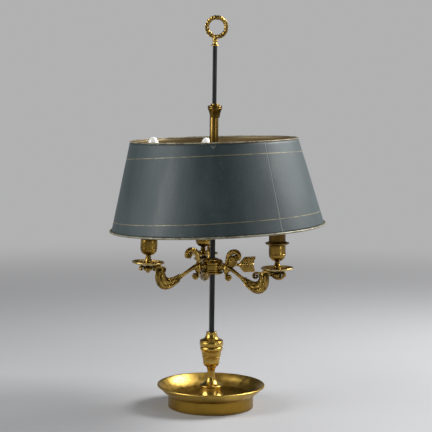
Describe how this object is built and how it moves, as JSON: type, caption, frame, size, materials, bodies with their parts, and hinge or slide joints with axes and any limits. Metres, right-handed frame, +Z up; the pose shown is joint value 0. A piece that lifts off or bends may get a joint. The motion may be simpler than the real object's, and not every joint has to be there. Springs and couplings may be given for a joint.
{
  "type": "bouillotte table lamp",
  "caption": "Table lamp with a dish base, square mast, ring finial, scrolled candle arms and a tapered painted metal shade that slides and turns.",
  "frame": {"origin": "middle of the base's flat underside, on the surface the lamp stands on, on the axis of the mast", "axes": "+Z up along the mast, +X to the viewer's right, -Y towards the viewer, who sees the lamp's front"},
  "size_m": [0.3834, 0.384, 0.6956],
  "materials": {
    "satin_brass": "satin, soft broad highlights, slightly patinated",
    "polished_brass": "polished, darkened in the hollows",
    "aged_brass": "dull, brown patina",
    "blackened_steel": "blackened, semi-gloss",
    "plain_steel": "plain machined",
    "cast_iron": "rough casting",
    "felt": "green felt",
    "shade_paint": "satin blue-green paint outside with thin gilt lines, pale gold inside",
    "gilt_rim": "rubbed cream and gilt paint on a wired edge",
    "wire_cover": "covered lead",
    "holder_plastic": "black moulding",
    "nickel_cap": "thin plated cap",
    "opal_glass": "frosted white"
  },
  "bodies": {
    "base": {"base_dish": "satin_brass", "base_weight": "cast_iron", "base_felt": "felt", "cord_bushing": "polished_brass", "cord_bushing_nut": "plain_steel", "stem_foot": "polished_brass", "vase_body": "polished_brass", "vase_cover": "polished_brass", "stem_tube": "plain_steel", "stem_washer": "plain_steel", "stem_nut": "plain_steel", "vase_nut": "plain_steel", "rod_lower": "blackened_steel", "rod_upper": "blackened_steel", "rod_coupler": "blackened_steel", "finial_collar": "polished_brass", "finial_wreath": "polished_brass"},
    "cluster": {"hub_drum": "polished_brass", "hub_dome": "polished_brass", "hub_flange": "polished_brass", "arm_right": "polished_brass", "arm_wire_right": "wire_cover", "drip_pan_right": "polished_brass", "candle_cup_right": "polished_brass", "cup_flange_right": "polished_brass", "candle_sleeve_right": "aged_brass", "lampholder_right": "holder_plastic", "bulb_cap_right": "nickel_cap", "bulb_glass_right": "opal_glass", "arm_back": "polished_brass", "arm_wire_back": "wire_cover", "drip_pan_back": "polished_brass", "candle_cup_back": "polished_brass", "cup_flange_back": "polished_brass", "candle_sleeve_back": "aged_brass", "lampholder_back": "holder_plastic", "bulb_cap_back": "nickel_cap", "bulb_glass_back": "opal_glass", "arm_left": "polished_brass", "arm_wire_left": "wire_cover", "drip_pan_left": "polished_brass", "candle_cup_left": "polished_brass", "cup_flange_left": "polished_brass", "candle_sleeve_left": "aged_brass", "lampholder_left": "holder_plastic", "bulb_cap_left": "nickel_cap", "bulb_glass_left": "opal_glass"},
    "clamp_key": {"key_screw": "polished_brass", "key_fletching": "polished_brass"},
    "shade_carrier": {"shade_sleeve": "polished_brass", "sleeve_ring": "polished_brass", "sleeve_cap": "polished_brass"},
    "shade": {"shade_shell": "shade_paint", "shade_top_rim": "gilt_rim", "shade_bottom_rim": "gilt_rim", "shade_spider": "polished_brass"},
    "thumbscrew": {"shade_thumbscrew": "polished_brass"}
  },
  "joints": [
    {"name": "cluster_height", "type": "slide", "parent": "base", "child": "cluster", "axis": [0, 0, 1], "range_m": [-0.09, 0.01]},
    {"name": "key_turn", "type": "hinge", "parent": "cluster", "child": "clamp_key", "pos_m": [0, 0, 0.253], "axis": [0.8285, 0.5592, -0.0289], "range_deg": [-180, 180]},
    {"name": "shade_height", "type": "slide", "parent": "base", "child": "shade_carrier", "axis": [0, 0, 1], "range_m": [-0.01, 0.09]},
    {"name": "shade_turn", "type": "hinge", "parent": "shade_carrier", "child": "shade", "pos_m": [0, 0, 0.463], "axis": [0, 0, 1], "range_deg": [-40, 40]},
    {"name": "thumbscrew_turn", "type": "hinge", "parent": "shade_carrier", "child": "thumbscrew", "pos_m": [0, 0, 0.529], "axis": [0, 1, 0], "range_deg": [-180, 180]}
  ]
}
